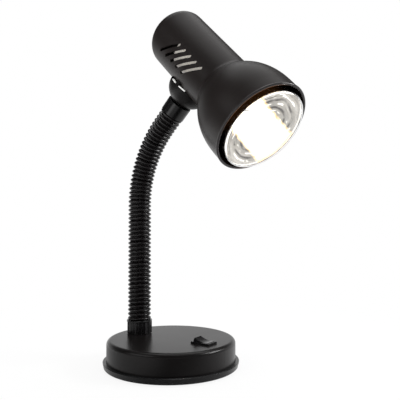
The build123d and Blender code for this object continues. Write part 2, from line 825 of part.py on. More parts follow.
nipple_top = washer_seat + washer_thickness + nut_height + tube_spare
nipple_foot = swivel_floor + slide_gap
head_nipple = ring(end_place(nipple_foot), tube_radius, tube_bore_radius, nipple_top - nipple_foot)
save(head_nipple, "head_nipple")

holder_back = mouth_reach - holder_mouth - holder_length
bracket_back = holder_back - bracket_thickness
with BuildPart() as head_nuts:
    for seat in (end_place(saddle_floor + saddle_washer_thickness),
                 end_place(washer_seat + washer_thickness)):
        with BuildSketch(seat):
            RegularPolygon(nut_across_flats / 2, nut_sides, major_radius=False)
            Circle(tube_radius + seat_gap, mode=Mode.SUBTRACT)
    extrude(amount=nut_height)
    with BuildSketch(head_place(bracket_back)):
        RegularPolygon(nut_across_flats / 2, nut_sides, major_radius=False)
        Circle(tube_radius + seat_gap, mode=Mode.SUBTRACT)
    extrude(amount=-nut_height)
save(head_nuts, "head_nuts")

# Bracket: a steel strip along the floor of the shade's tube, bent up behind the lampholder
with BuildPart() as holder_bracket:
    with BuildSketch(head_side):
        with BuildLine():
            FilletPolyline(
                (bracket_nose, bracket_thickness / 2 - bracket_seat),
                (holder_back - bracket_thickness / 2, bracket_thickness / 2 - bracket_seat),
                (holder_back - bracket_thickness / 2, bracket_tip),
                radius=bracket_bend_radius + bracket_thickness / 2,
            )
        trace(line_width=bracket_thickness)
    extrude(amount=bracket_width / 2, both=True)
    with BuildSketch(neck_end):
        Circle(tube_radius + tube_gap)
    extrude(amount=head_offset, mode=Mode.SUBTRACT)
    with BuildSketch(head_place(holder_back)):
        Circle(tube_radius + tube_gap)
    extrude(amount=bracket_thickness, both=True, mode=Mode.SUBTRACT)
save(holder_bracket, "holder_bracket")

holder_nipple = ring(
    head_place(bracket_back - nut_height - tube_spare),
    tube_radius,
    tube_bore_radius,
    holder_tube_length,
)
save(holder_nipple, "holder_nipple")

# Lampholder: a stepped body, the threaded shell for the cap and the sprung contact behind it
holder_front = mouth_reach - holder_mouth
holder_floor = holder_back + holder_base
holder_step = holder_front - holder_nose_length
holder_bore = shell_radius + seat_gap
holder_body = turned(
    head_side,
    head_axis,
    [
        (holder_back, tube_radius + seat_gap),
        (holder_back, holder_radius - holder_edge),
        (holder_back + holder_edge, holder_radius),
        (holder_step - holder_edge, holder_radius),
        (holder_step, holder_nose_radius),
        (holder_front - holder_edge, holder_nose_radius),
        (holder_front, holder_nose_radius - holder_edge),
        (holder_front, holder_bore),
        (holder_floor, holder_bore),
        (holder_floor, tube_radius + seat_gap),
    ],
)
save(holder_body, "holder_body")

shell_front = holder_front - shell_recess
holder_shell = ring(
    head_place(shell_front - shell_length), shell_radius, shell_radius - shell_wall, shell_length
)
save(holder_shell, "holder_shell")

cap_tip = mouth_reach + bulb_proud + bulb_face_bulge - bulb_length
with BuildPart() as holder_contact:
    with BuildSketch(head_side):
        with BuildLine():
            FilletPolyline(
                (holder_floor + contact_thickness / 2, contact_root),
                (holder_floor + contact_thickness / 2, -contact_root),
                (cap_tip - contact_thickness / 2 - seat_gap, -contact_width / 2),
                (cap_tip - contact_thickness / 2 - seat_gap, contact_width / 2),
                radius=contact_bend_radius,
            )
        trace(line_width=contact_thickness)
    extrude(amount=contact_width / 2, both=True)
save(holder_contact, "holder_contact")

# Reflector bulb: a domed face with a rounded edge, a tapering reflector and a screw cap
face_plane = mouth_reach + bulb_proud
reflector_end = mouth_reach - bulb_reflector_length
neck_end_reach = reflector_end - bulb_neck_length
cap_start = cap_tip + cap_tip_height + cap_insulator + cap_length


def bulb_line(inset):
    """The bulb's outline from the tip of its face to the open end of its neck."""
    edge = bulb_shoulder - inset
    bulge = bulb_face_bulge - inset
    inner = bulb_radius - bulb_shoulder
    dome = crown_radius(bulge, bulb_radius - inset, edge)
    half = asin(inner / (dome - edge))
    neck = bulb_neck_radius - inset
    CenterArc((face_plane + bulge - dome, 0), dome, 0, degrees(half))
    CenterArc((face_plane, inner), edge, degrees(half), quarter_turn - degrees(half))
    Spline(
        (face_plane, bulb_radius - inset),
        (mouth_reach - bulb_taper_reach, bulb_taper_radius - inset),
        (reflector_end, neck),
        tangents=((-1, 0), (-1, 0)),
    )
    Polyline(
        (reflector_end, neck),
        (neck_end_reach, neck),
        (cap_start, cap_radius - cap_wall - seat_gap - inset),
        (cap_start - bulb_glass_lap, cap_radius - cap_wall - seat_gap - inset),
    )


with BuildPart() as bulb_glass:
    with BuildSketch(head_side):
        with BuildLine():
            bulb_line(0)
            bulb_line(bulb_glass_wall)
            Line((face_plane + bulb_face_bulge, 0), (face_plane + bulb_face_bulge - bulb_glass_wall, 0))
            Line(
                (cap_start - bulb_glass_lap, cap_radius - cap_wall - seat_gap),
                (cap_start - bulb_glass_lap, cap_radius - cap_wall - seat_gap - bulb_glass_wall),
            )
        make_face()
    revolve(axis=head_axis)
save(bulb_glass, "bulb_glass")

# The silvered layer inside the reflector
mirror_gap = bulb_glass_wall + mirror_clearance
with BuildPart() as bulb_mirror:
    with BuildSketch(head_side):
        with BuildLine():
            for inset in (mirror_gap, mirror_gap + mirror_thickness):
                Spline(
                    (face_plane, bulb_radius - inset),
                    (mouth_reach - bulb_taper_reach, bulb_taper_radius - inset),
                    (reflector_end, bulb_neck_radius - inset),
                    tangents=((-1, 0), (-1, 0)),
                )
            for reach, radius in ((face_plane, bulb_radius), (reflector_end, bulb_neck_radius)):
                Line((reach, radius - mirror_gap), (reach, radius - mirror_gap - mirror_thickness))
        make_face()
    revolve(axis=head_axis)
save(bulb_mirror, "bulb_mirror")

# Screw cap with its insulator's cone and tip, and the stem that carries the filament
cap_back = cap_tip + cap_tip_height + cap_insulator
bulb_cap = turned(
    head_side,
    head_axis,
    [
        (cap_tip, 0),
        (cap_tip, cap_tip_radius - cap_tip_height),
        (cap_tip + cap_tip_height, cap_tip_radius),
        (cap_back, cap_radius - cap_tip_height),
        (cap_back + cap_tip_height, cap_radius),
        (cap_start, cap_radius),
        (cap_start, cap_radius - cap_wall),
        (cap_back + cap_wall, cap_radius - cap_wall),
        (cap_back + cap_wall, 0),
    ],
)
save(bulb_cap, "bulb_cap")

stem_top = mouth_reach - stem_reach
bulb_stem = turned(
    head_side,
    head_axis,
    [
        (cap_start - bulb_glass_lap, 0),
        (cap_start - bulb_glass_lap, cap_radius - cap_wall - 2 * seat_gap - bulb_glass_wall),
        (cap_start, stem_radius),
        (stem_top, stem_radius),
        (stem_top, 0),
    ],
)
save(bulb_stem, "bulb_stem")

filament_place = mouth_reach - filament_reach
with BuildPart() as bulb_filament:
    with BuildSketch(Plane(origin=head_centre + head_line * filament_place, z_dir=head_side.z_dir)):
        Circle(filament_radius)
    extrude(amount=filament_span / 2, both=True)
    with BuildSketch(head_place(stem_top)):
        with GridLocations(stem_radius, 0, lead_count, 1):
            Circle(filament_wire_radius)
    extrude(amount=filament_place - stem_top)
save(bulb_filament, "bulb_filament")
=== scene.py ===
from math import ceil, cos, pi, radians, sin

import bmesh
import bpy
from mathutils import Matrix, Vector


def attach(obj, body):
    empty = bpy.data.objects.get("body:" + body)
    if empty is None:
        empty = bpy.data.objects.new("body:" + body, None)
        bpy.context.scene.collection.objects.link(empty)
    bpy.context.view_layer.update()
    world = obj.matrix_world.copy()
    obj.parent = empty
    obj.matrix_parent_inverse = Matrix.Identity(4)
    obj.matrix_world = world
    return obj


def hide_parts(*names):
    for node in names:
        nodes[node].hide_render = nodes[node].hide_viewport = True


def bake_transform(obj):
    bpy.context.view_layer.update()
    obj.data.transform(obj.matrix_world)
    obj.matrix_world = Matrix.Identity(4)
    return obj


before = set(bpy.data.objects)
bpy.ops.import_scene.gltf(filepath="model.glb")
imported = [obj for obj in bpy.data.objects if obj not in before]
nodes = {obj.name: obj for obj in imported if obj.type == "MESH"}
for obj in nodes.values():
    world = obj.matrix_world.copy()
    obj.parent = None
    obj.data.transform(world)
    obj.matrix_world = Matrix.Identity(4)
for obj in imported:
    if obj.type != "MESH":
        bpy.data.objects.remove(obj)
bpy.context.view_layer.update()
print("frame loaded:", len(nodes), "nodes")

mm = 0.001
unlit = (0.0, 0.0, 0.0, 1.0)
plainWhite = (1.0, 1.0, 1.0, 1.0)

# detail and roughness of each kind of noise
noiseKinds = {"peel": (2.0, 0.55), "speck": (1.0, 0.5), "cloud": (3.0, 0.5), "grain": (4.0, 0.6),
              "stain": (3.0, 0.55), "ripple": (2.0, 0.5)}


class Link:
    # one output socket, so that materials read as plain sums
    def __init__(self, finish, socket):
        self.finish = finish
        self.socket = socket

    def maths(self, operation, *others):
        values = dict(enumerate((self, *others)))
        return self.finish.node("ShaderNodeMath", {"operation": operation}, values)

    def __add__(self, other):
        return self.maths("ADD", other)

    def __sub__(self, other):
        return self.maths("SUBTRACT", other)

    def __rsub__(self, other):
        return self.finish.node("ShaderNodeMath", {"operation": "SUBTRACT"}, {0: other, 1: self})

    def __mul__(self, other):
        return self.maths("MULTIPLY", other)

    __radd__ = __add__
    __rmul__ = __mul__

    def size(self):
        return self.maths("ABSOLUTE")

    def wave(self):
        return self.maths("SINE")

    def rise(self, low, high, bottom=0.0, top=1.0):
        # goes smoothly from bottom to top between low and high
        return self.finish.node("ShaderNodeMapRange", {"interpolation_type": "SMOOTHSTEP"},
                                {0: self, 1: low, 2: high, 3: bottom, 4: top})

    def fall(self, low, high):
        return self.rise(low, high, 1.0, 0.0)

    def spread(self, width):
        # a noise lies round 0.5, and this lays it round 0
        return (self - 0.5) * width


class Finish:
    # one material, or the world, being put together
    def __init__(self, block, kind="Material", place="Object"):
        self.block = block
        self.block.use_nodes = True
        self.tree = self.block.node_tree
        self.tree.nodes.clear()
        self.output = self.tree.nodes.new("ShaderNodeOutput" + kind)
        self.place = self.node("ShaderNodeTexCoord", {}, {}, place)

    def node(self, kind, settings, values, out=0):
        made = self.tree.nodes.new(kind)
        for key, setting in settings.items():
            setattr(made, key, setting)
        for key, value in values.items():
            if isinstance(value, Link):
                self.tree.links.new(value.socket, made.inputs[key])
            else:
                made.inputs[key].default_value = value
        return Link(self, made.outputs[out])

    def noise(self, kind, scale):
        detail, roughness = noiseKinds[kind]
        return self.node("ShaderNodeTexNoise", {"noise_dimensions": "3D"},
                         {"Vector": self.place, "Scale": scale, "Detail": detail,
                          "Roughness": roughness}, "Fac")

    def tint(self, factor, first, second):
        # mixes two colours
        return self.node("ShaderNodeMix", {"data_type": "RGBA"},
                         {0: factor, 6: first, 7: second}, 2)

    def along(self, where, direction):
        return self.node("ShaderNodeVectorMath", {"operation": "DOT_PRODUCT"},
                         {0: where, 1: direction}, "Value")

    def bump(self, height, strength, distance):
        return self.node("ShaderNodeBump", {},
                         {"Height": height, "Strength": strength, "Distance": distance}, "Normal")

    def surface(self, shader):
        self.tree.links.new(shader.socket, self.output.inputs["Surface"])
        return self.block

    def principled(self, **values):
        named = {key.replace("_", " "): value for key, value in values.items()}
        return self.surface(self.node("ShaderNodeBsdfPrincipled", {}, named, "BSDF"))


def newFinish(name):
    return Finish(bpy.data.materials.new(name))


def srgb(red, green, blue):
    # screen values 0 to 255 as the linear colour that a shader wants
    parts = []
    for value in (red, green, blue):
        share = value / 255
        parts.append(share / 12.92 if share <= 0.04045 else ((share + 0.055) / 1.055) ** 2.4)
    return (*parts, 1.0)


headSettings = {"centre": Vector((40.259, 0, 286.354)) * mm,
                "towardMouth": Vector((0.71110, -0.13347, -0.69031)),
                "neckLine": Vector((0.6965, 0, 0.7175))}
mouthAxis = headSettings["towardMouth"].normalized()

# the bulb's glow and the light inside the shade are laid out once, from where the photo was
# taken, and they stay in their places on the lamp when the camera moves
cameraSettings = {"place": Vector((329.5, -416.7, 146.8)) * mm,
                  "view": Vector((-0.578, 0.816, 0.0276)),
                  "sensor": 36, "zoom": 540 / 400, "nearest": 10 * mm}
acrossFace = mouthAxis.cross(cameraSettings["view"]).normalized()


def headCoordinates(finish):
    # the way from the head's centre, the part of it toward the mouth, and how far the
    # surface faces away from the head's axis, which is below 0 on the inside
    offset = finish.node("ShaderNodeVectorMath", {"operation": "SUBTRACT"},
                         {0: finish.place, 1: headSettings["centre"]})
    facing = finish.node("ShaderNodeTexCoord", {}, {}, "Normal")
    ahead = finish.along(offset, mouthAxis)
    outward = finish.along(offset, facing) - ahead * finish.along(facing, mouthAxis)
    return offset, ahead, outward


satinSettings = {"speckFrom": (0.70, 0.78), "speckDull": 0.1, "beadBlend": 1 * mm}


def satinPaint(name, settings):
    # powder-coated steel: a fine orange peel, faint cloudy sheen, a few dust specks
    paint = newFinish(name)
    peel = paint.noise("peel", settings["peelScale"])
    cloud = paint.noise("cloud", settings["cloudScale"])
    speck = paint.noise("speck", settings["speckScale"]).rise(*satinSettings["speckFrom"])
    colour = paint.tint(cloud, settings["dark"], settings["light"])
    colour = paint.tint(speck * settings["speckShare"], colour, settings["speck"])
    roughness = settings["roughness"] + cloud.spread(settings["roughnessSpread"])
    roughness = roughness + speck * satinSettings["speckDull"]
    paintedGlow = unlit
    metallic = 0.0
    if "inner" in settings:
        # painted glow: the bulb's warm light on the inside of the shade, near the band, is
        # painted in as emission
        offset, ahead, outward = headCoordinates(paint)
        inside = outward.maths("LESS_THAN", 0.0) * ahead.rise(*settings["innerFrom"])
        beside = paint.along(offset, acrossFace).size()
        inside = inside * beside.fall(*settings["innerAcross"])
        paintedGlow = paint.tint(inside, paintedGlow, settings["inner"])
        # painted sheen: the rolled rim is coloured lighter, part metal and shinier, so that it
        # shows a highlight line
        beadFrom = settings["beadFrom"]
        beadPaintedSheen = ahead.rise(beadFrom, beadFrom + satinSettings["beadBlend"])
        colour = paint.tint(beadPaintedSheen, colour, settings["beadPaintedSheen"])
        metallic = beadPaintedSheen * settings["beadMetal"]
        roughness = roughness - beadPaintedSheen * settings["beadShine"]
    return paint.principled(
        Base_Color=colour, Metallic=metallic, Roughness=roughness,
        Specular_IOR_Level=settings["specular"],
        Emission_Color=paintedGlow, Emission_Strength=1.0,
        Normal=paint.bump(peel, settings["peelStrength"], settings["peelHeight"]))


def mouldedPlastic(name, settings):
    # mouldings with a fine grain and smears; the glaze and the nylon also get a painted glow for
    # the bulb's light
    plastic = newFinish(name)
    grain = plastic.noise("grain", settings["grainScale"])
    smear = plastic.noise("cloud", settings["smearScale"])
    return plastic.principled(
        Base_Color=plastic.tint(smear, settings["dark"], settings["light"]),
        Roughness=settings["roughness"] + smear.spread(settings["roughnessSpread"]),
        Specular_IOR_Level=settings["specular"],
        Emission_Color=settings.get("paintedGlow", unlit), Emission_Strength=1.0,
        Normal=plastic.bump(grain, settings["grainStrength"], settings["grainHeight"]))


def platedMetal(name, settings):
    # plated, drawn or cast metal: a fine grain, and stains that vary its colour and shine
    metal = newFinish(name)
    grain = metal.noise("grain", settings["grainScale"])
    stain = metal.noise("stain", settings["stainScale"])
    return metal.principled(
        Base_Color=metal.tint(stain, settings["dark"], settings["light"]),
        Metallic=settings["metallic"],
        Roughness=settings["roughness"] + stain.spread(settings["roughnessSpread"]),
        Normal=metal.bump(grain, settings["grainStrength"], settings["grainHeight"]))


coverSettings = {"dark": srgb(15, 13, 13), "light": srgb(23, 20, 20), "speck": srgb(80, 78, 76),
                 "speckShare": 0.12, "roughness": 0.29, "roughnessSpread": 0.05,
                 "specular": 0.30, "peelScale": 900.0, "cloudScale": 22.0, "speckScale": 520.0,
                 "peelStrength": 0.03, "peelHeight": 0.00004}
coverPaint = satinPaint("coverPaint", coverSettings)

# the shade's inner colour is a painted glow of the bulb's warm light inside it
shadeSettings = {"dark": srgb(32, 28, 27), "light": srgb(40, 35, 34), "speck": srgb(74, 70, 68),
                 "speckShare": 0.12, "roughness": 0.40, "roughnessSpread": 0.06,
                 "specular": 0.15, "peelScale": 850.0, "cloudScale": 18.0, "speckScale": 560.0,
                 "peelStrength": 0.08, "peelHeight": 0.00005, "inner": srgb(98, 60, 26),
                 "innerFrom": (60 * mm, 96 * mm), "innerAcross": (16 * mm, 38 * mm),
                 "beadFrom": 93.4 * mm, "beadShine": 0.26, "beadPaintedSheen": srgb(64, 62, 62),
                 "beadMetal": 0.4}
# the bead colour, metal and shine above are a painted sheen on the rolled rim
shadePaint = satinPaint("shadePaint", shadeSettings)

saddleSettings = {"dark": srgb(21, 20, 20), "light": srgb(30, 28, 28), "roughness": 0.36,
                  "roughnessSpread": 0.10, "specular": 0.12, "grainScale": 1100.0,
                  "smearScale": 40.0, "grainStrength": 0.10, "grainHeight": 0.00004}
saddlePlastic = mouldedPlastic("saddlePlastic", saddleSettings)

panSettings = {"dark": srgb(20, 20, 21), "light": srgb(28, 28, 29), "roughness": 0.24,
               "roughnessSpread": 0.08, "specular": 0.40, "grainScale": 1400.0,
               "smearScale": 30.0, "grainStrength": 0.04, "grainHeight": 0.00003}
panPlastic = mouldedPlastic("panPlastic", panSettings)

collarSettings = {"dark": srgb(12, 11, 12), "light": srgb(19, 18, 19), "roughness": 0.20,
                  "roughnessSpread": 0.08, "specular": 0.36, "grainScale": 1500.0,
                  "smearScale": 60.0, "grainStrength": 0.04, "grainHeight": 0.00003}
collarPlastic = mouldedPlastic("collarPlastic", collarSettings)

# the ridges are coloured lighter than the collar: a painted highlight
ridgeHighlightFinish = dict(collarSettings, dark=srgb(40, 39, 40), light=srgb(56, 55, 56))
ridgeHighlightPlastic = mouldedPlastic("ridgeHighlightPlastic", ridgeHighlightFinish)

switchSettings = {"dark": srgb(15, 14, 15), "light": srgb(23, 22, 23), "roughness": 0.22,
                  "roughnessSpread": 0.08, "specular": 0.40, "grainScale": 1700.0,
                  "smearScale": 90.0, "grainStrength": 0.06, "grainHeight": 0.00003}
switchPlastic = mouldedPlastic("switchPlastic", switchSettings)

sleeveSettings = {"dark": srgb(15, 12, 13), "light": srgb(21, 18, 19), "roughness": 0.26,
                  "roughnessSpread": 0.06, "specular": 0.45, "grainScale": 1300.0,
                  "smearScale": 70.0, "grainStrength": 0.03, "grainHeight": 0.00003}
sleevePlastic = mouldedPlastic("sleevePlastic", sleeveSettings)

rubberSettings = {"dark": srgb(22, 22, 22), "light": srgb(34, 34, 34), "roughness": 0.75,
                  "roughnessSpread": 0.2, "specular": 0.35, "grainScale": 900.0,
                  "smearScale": 40.0, "grainStrength": 0.35, "grainHeight": 0.00012}
padRubber = mouldedPlastic("padRubber", rubberSettings)

blockSettings = {"dark": srgb(206, 202, 190), "light": srgb(224, 221, 211), "roughness": 0.45,
                 "roughnessSpread": 0.15, "specular": 0.5, "grainScale": 1200.0,
                 "smearScale": 120.0, "grainStrength": 0.1, "grainHeight": 0.00004}
blockPlastic = mouldedPlastic("blockPlastic", blockSettings)

# the holder's glow is painted light from the lit bulb
ceramicSettings = {"dark": srgb(226, 219, 200), "light": srgb(240, 235, 221), "roughness": 0.20,
                   "roughnessSpread": 0.14, "specular": 0.5, "grainScale": 400.0,
                   "smearScale": 70.0, "grainStrength": 0.12, "grainHeight": 0.00008,
                   "paintedGlow": srgb(142, 138, 134)}
holderGlaze = mouldedPlastic("holderGlaze", ceramicSettings)

ironSettings = {"dark": srgb(70, 66, 62), "light": srgb(98, 92, 86), "metallic": 0.7,
                "roughness": 0.62, "roughnessSpread": 0.25, "grainScale": 420.0,
                "stainScale": 45.0, "grainStrength": 0.5, "grainHeight": 0.00025}
ballastIron = platedMetal("ballastIron", ironSettings)

zincSettings = {"dark": srgb(196, 199, 202), "light": srgb(234, 236, 238), "metallic": 1.0,
                "roughness": 0.24, "roughnessSpread": 0.14, "grainScale": 900.0,
                "stainScale": 120.0, "grainStrength": 0.15, "grainHeight": 0.00004}
zincSteel = platedMetal("zincSteel", zincSettings)

polishSettings = {"dark": srgb(226, 228, 230), "light": srgb(246, 247, 248), "metallic": 1.0,
                  "roughness": 0.05, "roughnessSpread": 0.03, "grainScale": 900.0,
                  "stainScale": 90.0, "grainStrength": 0.02, "grainHeight": 0.00002}
polishedSteel = platedMetal("polishedSteel", polishSettings)

# the glide nylon's glow is painted light from the lit bulb
nylonSettings = {"dark": srgb(240, 240, 236), "light": srgb(252, 252, 250), "roughness": 0.35,
                 "roughnessSpread": 0.1, "specular": 0.5, "grainScale": 1200.0,
                 "smearScale": 120.0, "grainStrength": 0.1, "grainHeight": 0.00003,
                 "paintedGlow": srgb(170, 170, 168)}
glideNylon = mouldedPlastic("glideNylon", nylonSettings)

brassSettings = {"dark": srgb(178, 146, 88), "light": srgb(214, 184, 120), "metallic": 1.0,
                 "roughness": 0.28, "roughnessSpread": 0.16, "grainScale": 900.0,
                 "stainScale": 110.0, "grainStrength": 0.15, "grainHeight": 0.00004}
brass = platedMetal("brass", brassSettings)

capSettings = {"dark": srgb(188, 186, 180), "light": srgb(226, 225, 220), "metallic": 1.0,
               "roughness": 0.26, "roughnessSpread": 0.16, "grainScale": 800.0,
               "stainScale": 90.0, "grainStrength": 0.15, "grainHeight": 0.00004}
capMetal = platedMetal("capMetal", capSettings)

tungstenSettings = {"dark": srgb(120, 118, 116), "light": srgb(168, 166, 162), "metallic": 1.0,
                    "roughness": 0.34, "roughnessSpread": 0.1, "grainScale": 2600.0,
                    "stainScale": 300.0, "grainStrength": 0.2, "grainHeight": 0.00002}
tungsten = platedMetal("tungsten", tungstenSettings)

print("plain finishes made")


glowSettings = {"rim": 96.0 * mm, "halfWidth": 20 * mm, "shift": 3.5 * mm, "edge": 1.0 * mm,
                "ragged": 3.5 * mm, "white": (1.5, 1.47, 1.4, 1.0), "strength": 1.0,
                "fringe": (1.15, 0.80, 0.36, 1.0), "fringeWidth": 2.5 * mm,
                "rimLine": (38.5 * mm, 39.2 * mm), "rimGlow": srgb(225, 223, 218)}
# the silver's dark streaks and white sparks are painted reflections and glints
silverSettings = {"silver": srgb(174, 173, 171), "paintedReflectionStreak": srgb(78, 75, 74),
                  "paintedGlint": srgb(255, 255, 255), "outside": srgb(44, 40, 38),
                  "rippleScale": 30.0, "fineScale": 120.0, "linePitch": 7.5 * mm, "swirl": 14.0,
                  "streakFrom": (0.2, 1.0), "streakBreaks": (0.34, 0.56),
                  "streakEnd": (36 * mm, 38.5 * mm), "sparkTo": (-1.0, -0.7),
                  "sparkBreaks": (0.5, 0.56), "sparkGlow": 0.5, "metallic": 0.6,
                  "roughness": 0.26, "fineDull": 0.1, "lineHeight": 0.4, "bumpStrength": 0.3,
                  "bumpHeight": 1.0 * mm}


def bulbReflector():
    # a painted reflection of the filament: one white band of emission across the face, with a
    # warm edge, and swirls of painted reflection that follow the bulb's round edge run through
    # the silver on either side
    silver = newFinish("bulbSilver")
    settings = silverSettings
    offset, ahead, outward = headCoordinates(silver)
    inside = outward.maths("LESS_THAN", 0.0)
    # how far out a spot seems to lie on the face, which looks like an ellipse in the photo
    faceOffset = mouthAxis * glowSettings["rim"]
    toFace = (headSettings["centre"] + faceOffset - cameraSettings["place"]).normalized()
    wide = mouthAxis.cross(toFace).normalized()
    narrow = wide.cross(toFace) / abs(mouthAxis.dot(toFace))
    sideways = silver.along(offset, wide)
    upright = silver.along(offset, narrow) - faceOffset.dot(narrow)
    ring = (sideways * sideways + upright * upright).maths("SQRT")
    # painted reflections: dark streaks and bright painted glints along rings that wander
    ripple = silver.noise("ripple", settings["rippleScale"])
    fine = silver.noise("ripple", settings["fineScale"])
    lines = (ring * (2 * pi / settings["linePitch"]) + ripple * settings["swirl"]).wave()
    paintedReflectionStreak = lines.rise(*settings["streakFrom"]) * fine.rise(*settings["streakBreaks"])
    paintedReflectionStreak = paintedReflectionStreak * ring.fall(*settings["streakEnd"])
    paintedGlint = lines.fall(*settings["sparkTo"]) * fine.rise(*settings["sparkBreaks"])
    colour = silver.tint(paintedReflectionStreak, settings["silver"], settings["paintedReflectionStreak"])
    colour = silver.tint(paintedGlint, colour, settings["paintedGlint"])
    # the outside of the silver coat, in shadow inside the shade, is painted dark grey: painted
    # shade
    colour = silver.tint(inside, settings["outside"], colour)
    # painted glow: the white band, its warm fringe, and a thin bright line round the rim
    across = silver.along(offset, acrossFace)
    distance = (across - glowSettings["shift"]).size() + fine.spread(glowSettings["ragged"])
    halfWidth, edge = glowSettings["halfWidth"], glowSettings["edge"]
    band = distance.fall(halfWidth - edge, halfWidth + edge) * inside
    core = distance.fall(halfWidth - glowSettings["fringeWidth"], halfWidth - edge)
    core = core * ahead.fall(glowSettings["rim"] - edge, glowSettings["rim"])
    warm = silver.tint(core, glowSettings["fringe"], glowSettings["white"])
    rimLine = ring.rise(*glowSettings["rimLine"]) * inside
    rimLine = rimLine.maths("MAXIMUM", paintedGlint * inside * settings["sparkGlow"])
    paintedGlow = silver.tint(rimLine, unlit, glowSettings["rimGlow"])
    paintedGlow = silver.tint(band, paintedGlow, warm)
    height = lines * settings["lineHeight"] + ripple
    return silver.principled(
        Base_Color=colour, Metallic=inside * settings["metallic"],
        Roughness=settings["roughness"] + fine * settings["fineDull"],
        Normal=silver.bump(height, settings["bumpStrength"], settings["bumpHeight"]),
        Emission_Color=paintedGlow, Emission_Strength=glowSettings["strength"])


glassSettings = {"flowScale": 34.0, "index": 1.45, "flowStrength": 0.12, "flowHeight": 0.6 * mm}


def bulbGlass():
    # clear blown glass, very slightly uneven
    glass = newFinish("bulbGlass")
    flow = glass.noise("ripple", glassSettings["flowScale"])
    return glass.principled(
        Base_Color=plainWhite, Roughness=0.0, IOR=glassSettings["index"], Transmission_Weight=1.0,
        Normal=glass.bump(flow, glassSettings["flowStrength"], glassSettings["flowHeight"]))


bulbSilver = bulbReflector()
bulbClear = bulbGlass()
print("bulb finishes made")


def newPiece(bm, name, finish):
    # turns a bmesh that is ready into an object of the scene
    mesh = bpy.data.meshes.new(name)
    bm.to_mesh(mesh)
    bm.free()
    mesh.materials.append(finish)
    piece = bpy.data.objects.new(name, mesh)
    bpy.context.scene.collection.objects.link(piece)
    return piece


neckSettings = {"foot": Vector((-41.4, 0, 27)) * mm, "rise": 128.8 * mm,
                "bendRadius": 114.5 * mm, "bend": radians(44.15), "start": 0.5 * mm,
                "end": 239.45 * mm, "firstHinge": 21.55 * mm, "hingePitch": 21.05 * mm,
                "hinges": 10, "ribPitch": 4.21 * mm, "ribsPastHinge": 2, "crest": 11.75 * mm,
                "collaredCrest": 11.3 * mm, "betweenCollars": (13.5 * mm, 231.7 * mm),
                "groove": 9.45 * mm, "bore": 9.15 * mm, "segments": 72, "fullness": 1.7,
                "steps": (0.05, 0.13, 0.25, 0.38, 0.5, 0.62, 0.75, 0.87, 0.95),
                "leastRib": 0.01, "leastGap": 0.05 * mm}


def neckPlace(distance):
    # where the neck's centre line is at a distance from its foot, turned to follow it
    foot, rise = neckSettings["foot"], neckSettings["rise"]
    radius, bend = neckSettings["bendRadius"], neckSettings["bend"]
    turn = min(max((distance - rise) / radius, 0.0), bend)
    spot = foot + Vector((radius * (1 - cos(turn)), 0, min(distance, rise) + radius * sin(turn)))
    spot += Vector((sin(turn), 0, cos(turn))) * max(distance - rise - radius * bend, 0.0)
    return Matrix.Translation(spot) @ Matrix.Rotation(turn, 4, "Y")


def ribRadius(distance):
    # a rib's outline from groove to groove, lower where a collar covers it
    settings = neckSettings
    rib, share = divmod((distance - settings["start"]) / settings["ribPitch"], 1)
    middle = settings["start"] + (rib + 0.5) * settings["ribPitch"]
    low, high = settings["betweenCollars"]
    crest = settings["crest"] if low < middle < high else settings["collaredCrest"]
    height = 1 - abs(2 * share - 1) ** settings["fullness"]
    return settings["groove"] + (crest - settings["groove"]) * height


def sleeveRings(start, end):
    # distance and radius of each ring, along the outside and back through the bore; leastRib
    # and leastGap keep a rounding error from adding a rib or a doubled ring at the end
    settings = neckSettings
    pitch = settings["ribPitch"]
    count = ceil((end - start) / pitch - settings["leastRib"])
    last = end - settings["leastGap"]
    outside = [(start, settings["groove"])]
    for rib in range(count):
        low = start + rib * pitch
        distances = [low + step * pitch for step in settings["steps"]]
        outside += [(distance, ribRadius(distance)) for distance in distances if distance < last]
        if low + pitch < last:
            outside.append((low + pitch, settings["groove"]))
    outside.append((end, ribRadius(end)))
    inside = [(end - rib * (end - start) / count, settings["bore"]) for rib in range(count + 1)]
    return outside + inside


def sleevePiece(number):
    # one stretch of the ribbed sleeve: a circle drawn along the neck's line, out and back
    settings = neckSettings
    pastHinge = settings["ribsPastHinge"] * settings["ribPitch"]
    hinge = settings["firstHinge"] + number * settings["hingePitch"]
    bendFrom = hinge - settings["hingePitch"] + pastHinge
    bendTo = hinge + pastHinge
    lastPiece = number == settings["hinges"] - 1
    start = bendFrom if number else settings["start"]
    end = settings["end"] if lastPiece else bendTo
    bm = bmesh.new()
    bmesh.ops.create_circle(bm, segments=settings["segments"], radius=1.0, cap_ends=False)
    firstEdges = edges = bm.edges[:]
    points = bm.verts[:]
    before = Matrix.Identity(4)
    for place, (distance, radius) in enumerate(sleeveRings(start, end)):
        if place:
            made = bmesh.ops.extrude_edge_only(bm, edges=edges)["geom"]
            edges = [part for part in made if isinstance(part, bmesh.types.BMEdge)]
            points = [part for part in made if isinstance(part, bmesh.types.BMVert)]
        after = neckPlace(distance) @ Matrix.Diagonal((radius, radius, 1, 1))
        bmesh.ops.transform(bm, matrix=after @ before.inverted(), verts=points)
        before = after
    bmesh.ops.bridge_loops(bm, edges=firstEdges + edges)
    bmesh.ops.recalc_face_normals(bm, faces=bm.faces)
    piece = newPiece(bm, f"ribbedSleeve{number + 1:02d}", sleevePlastic)
    piece.data.shade_smooth()
    blendStart = neckPlace(bendFrom).translation
    blendEnd = neckPlace(bendTo).translation
    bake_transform(piece)
    replaced = [f"neck_sleeve_{number:02d}" if number else "neck_sleeve_foot"]
    if lastPiece:
        replaced.append(f"neck_sleeve_{number + 1:02d}")
    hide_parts(*replaced)


for number in range(neckSettings["hinges"]):
    sleevePiece(number)
print("ribbed neck made:", neckSettings["hinges"], "pieces")


glideSettings = {"inner": 18.6 * mm, "outer": 20.7 * mm, "foot": 14.0 * mm, "top": 14.8 * mm,
                 "neckEnd": Vector((12.676, 0, 257.940)) * mm, "arcs": ((54, 76), (90, 112)),
                 "steps": 12}


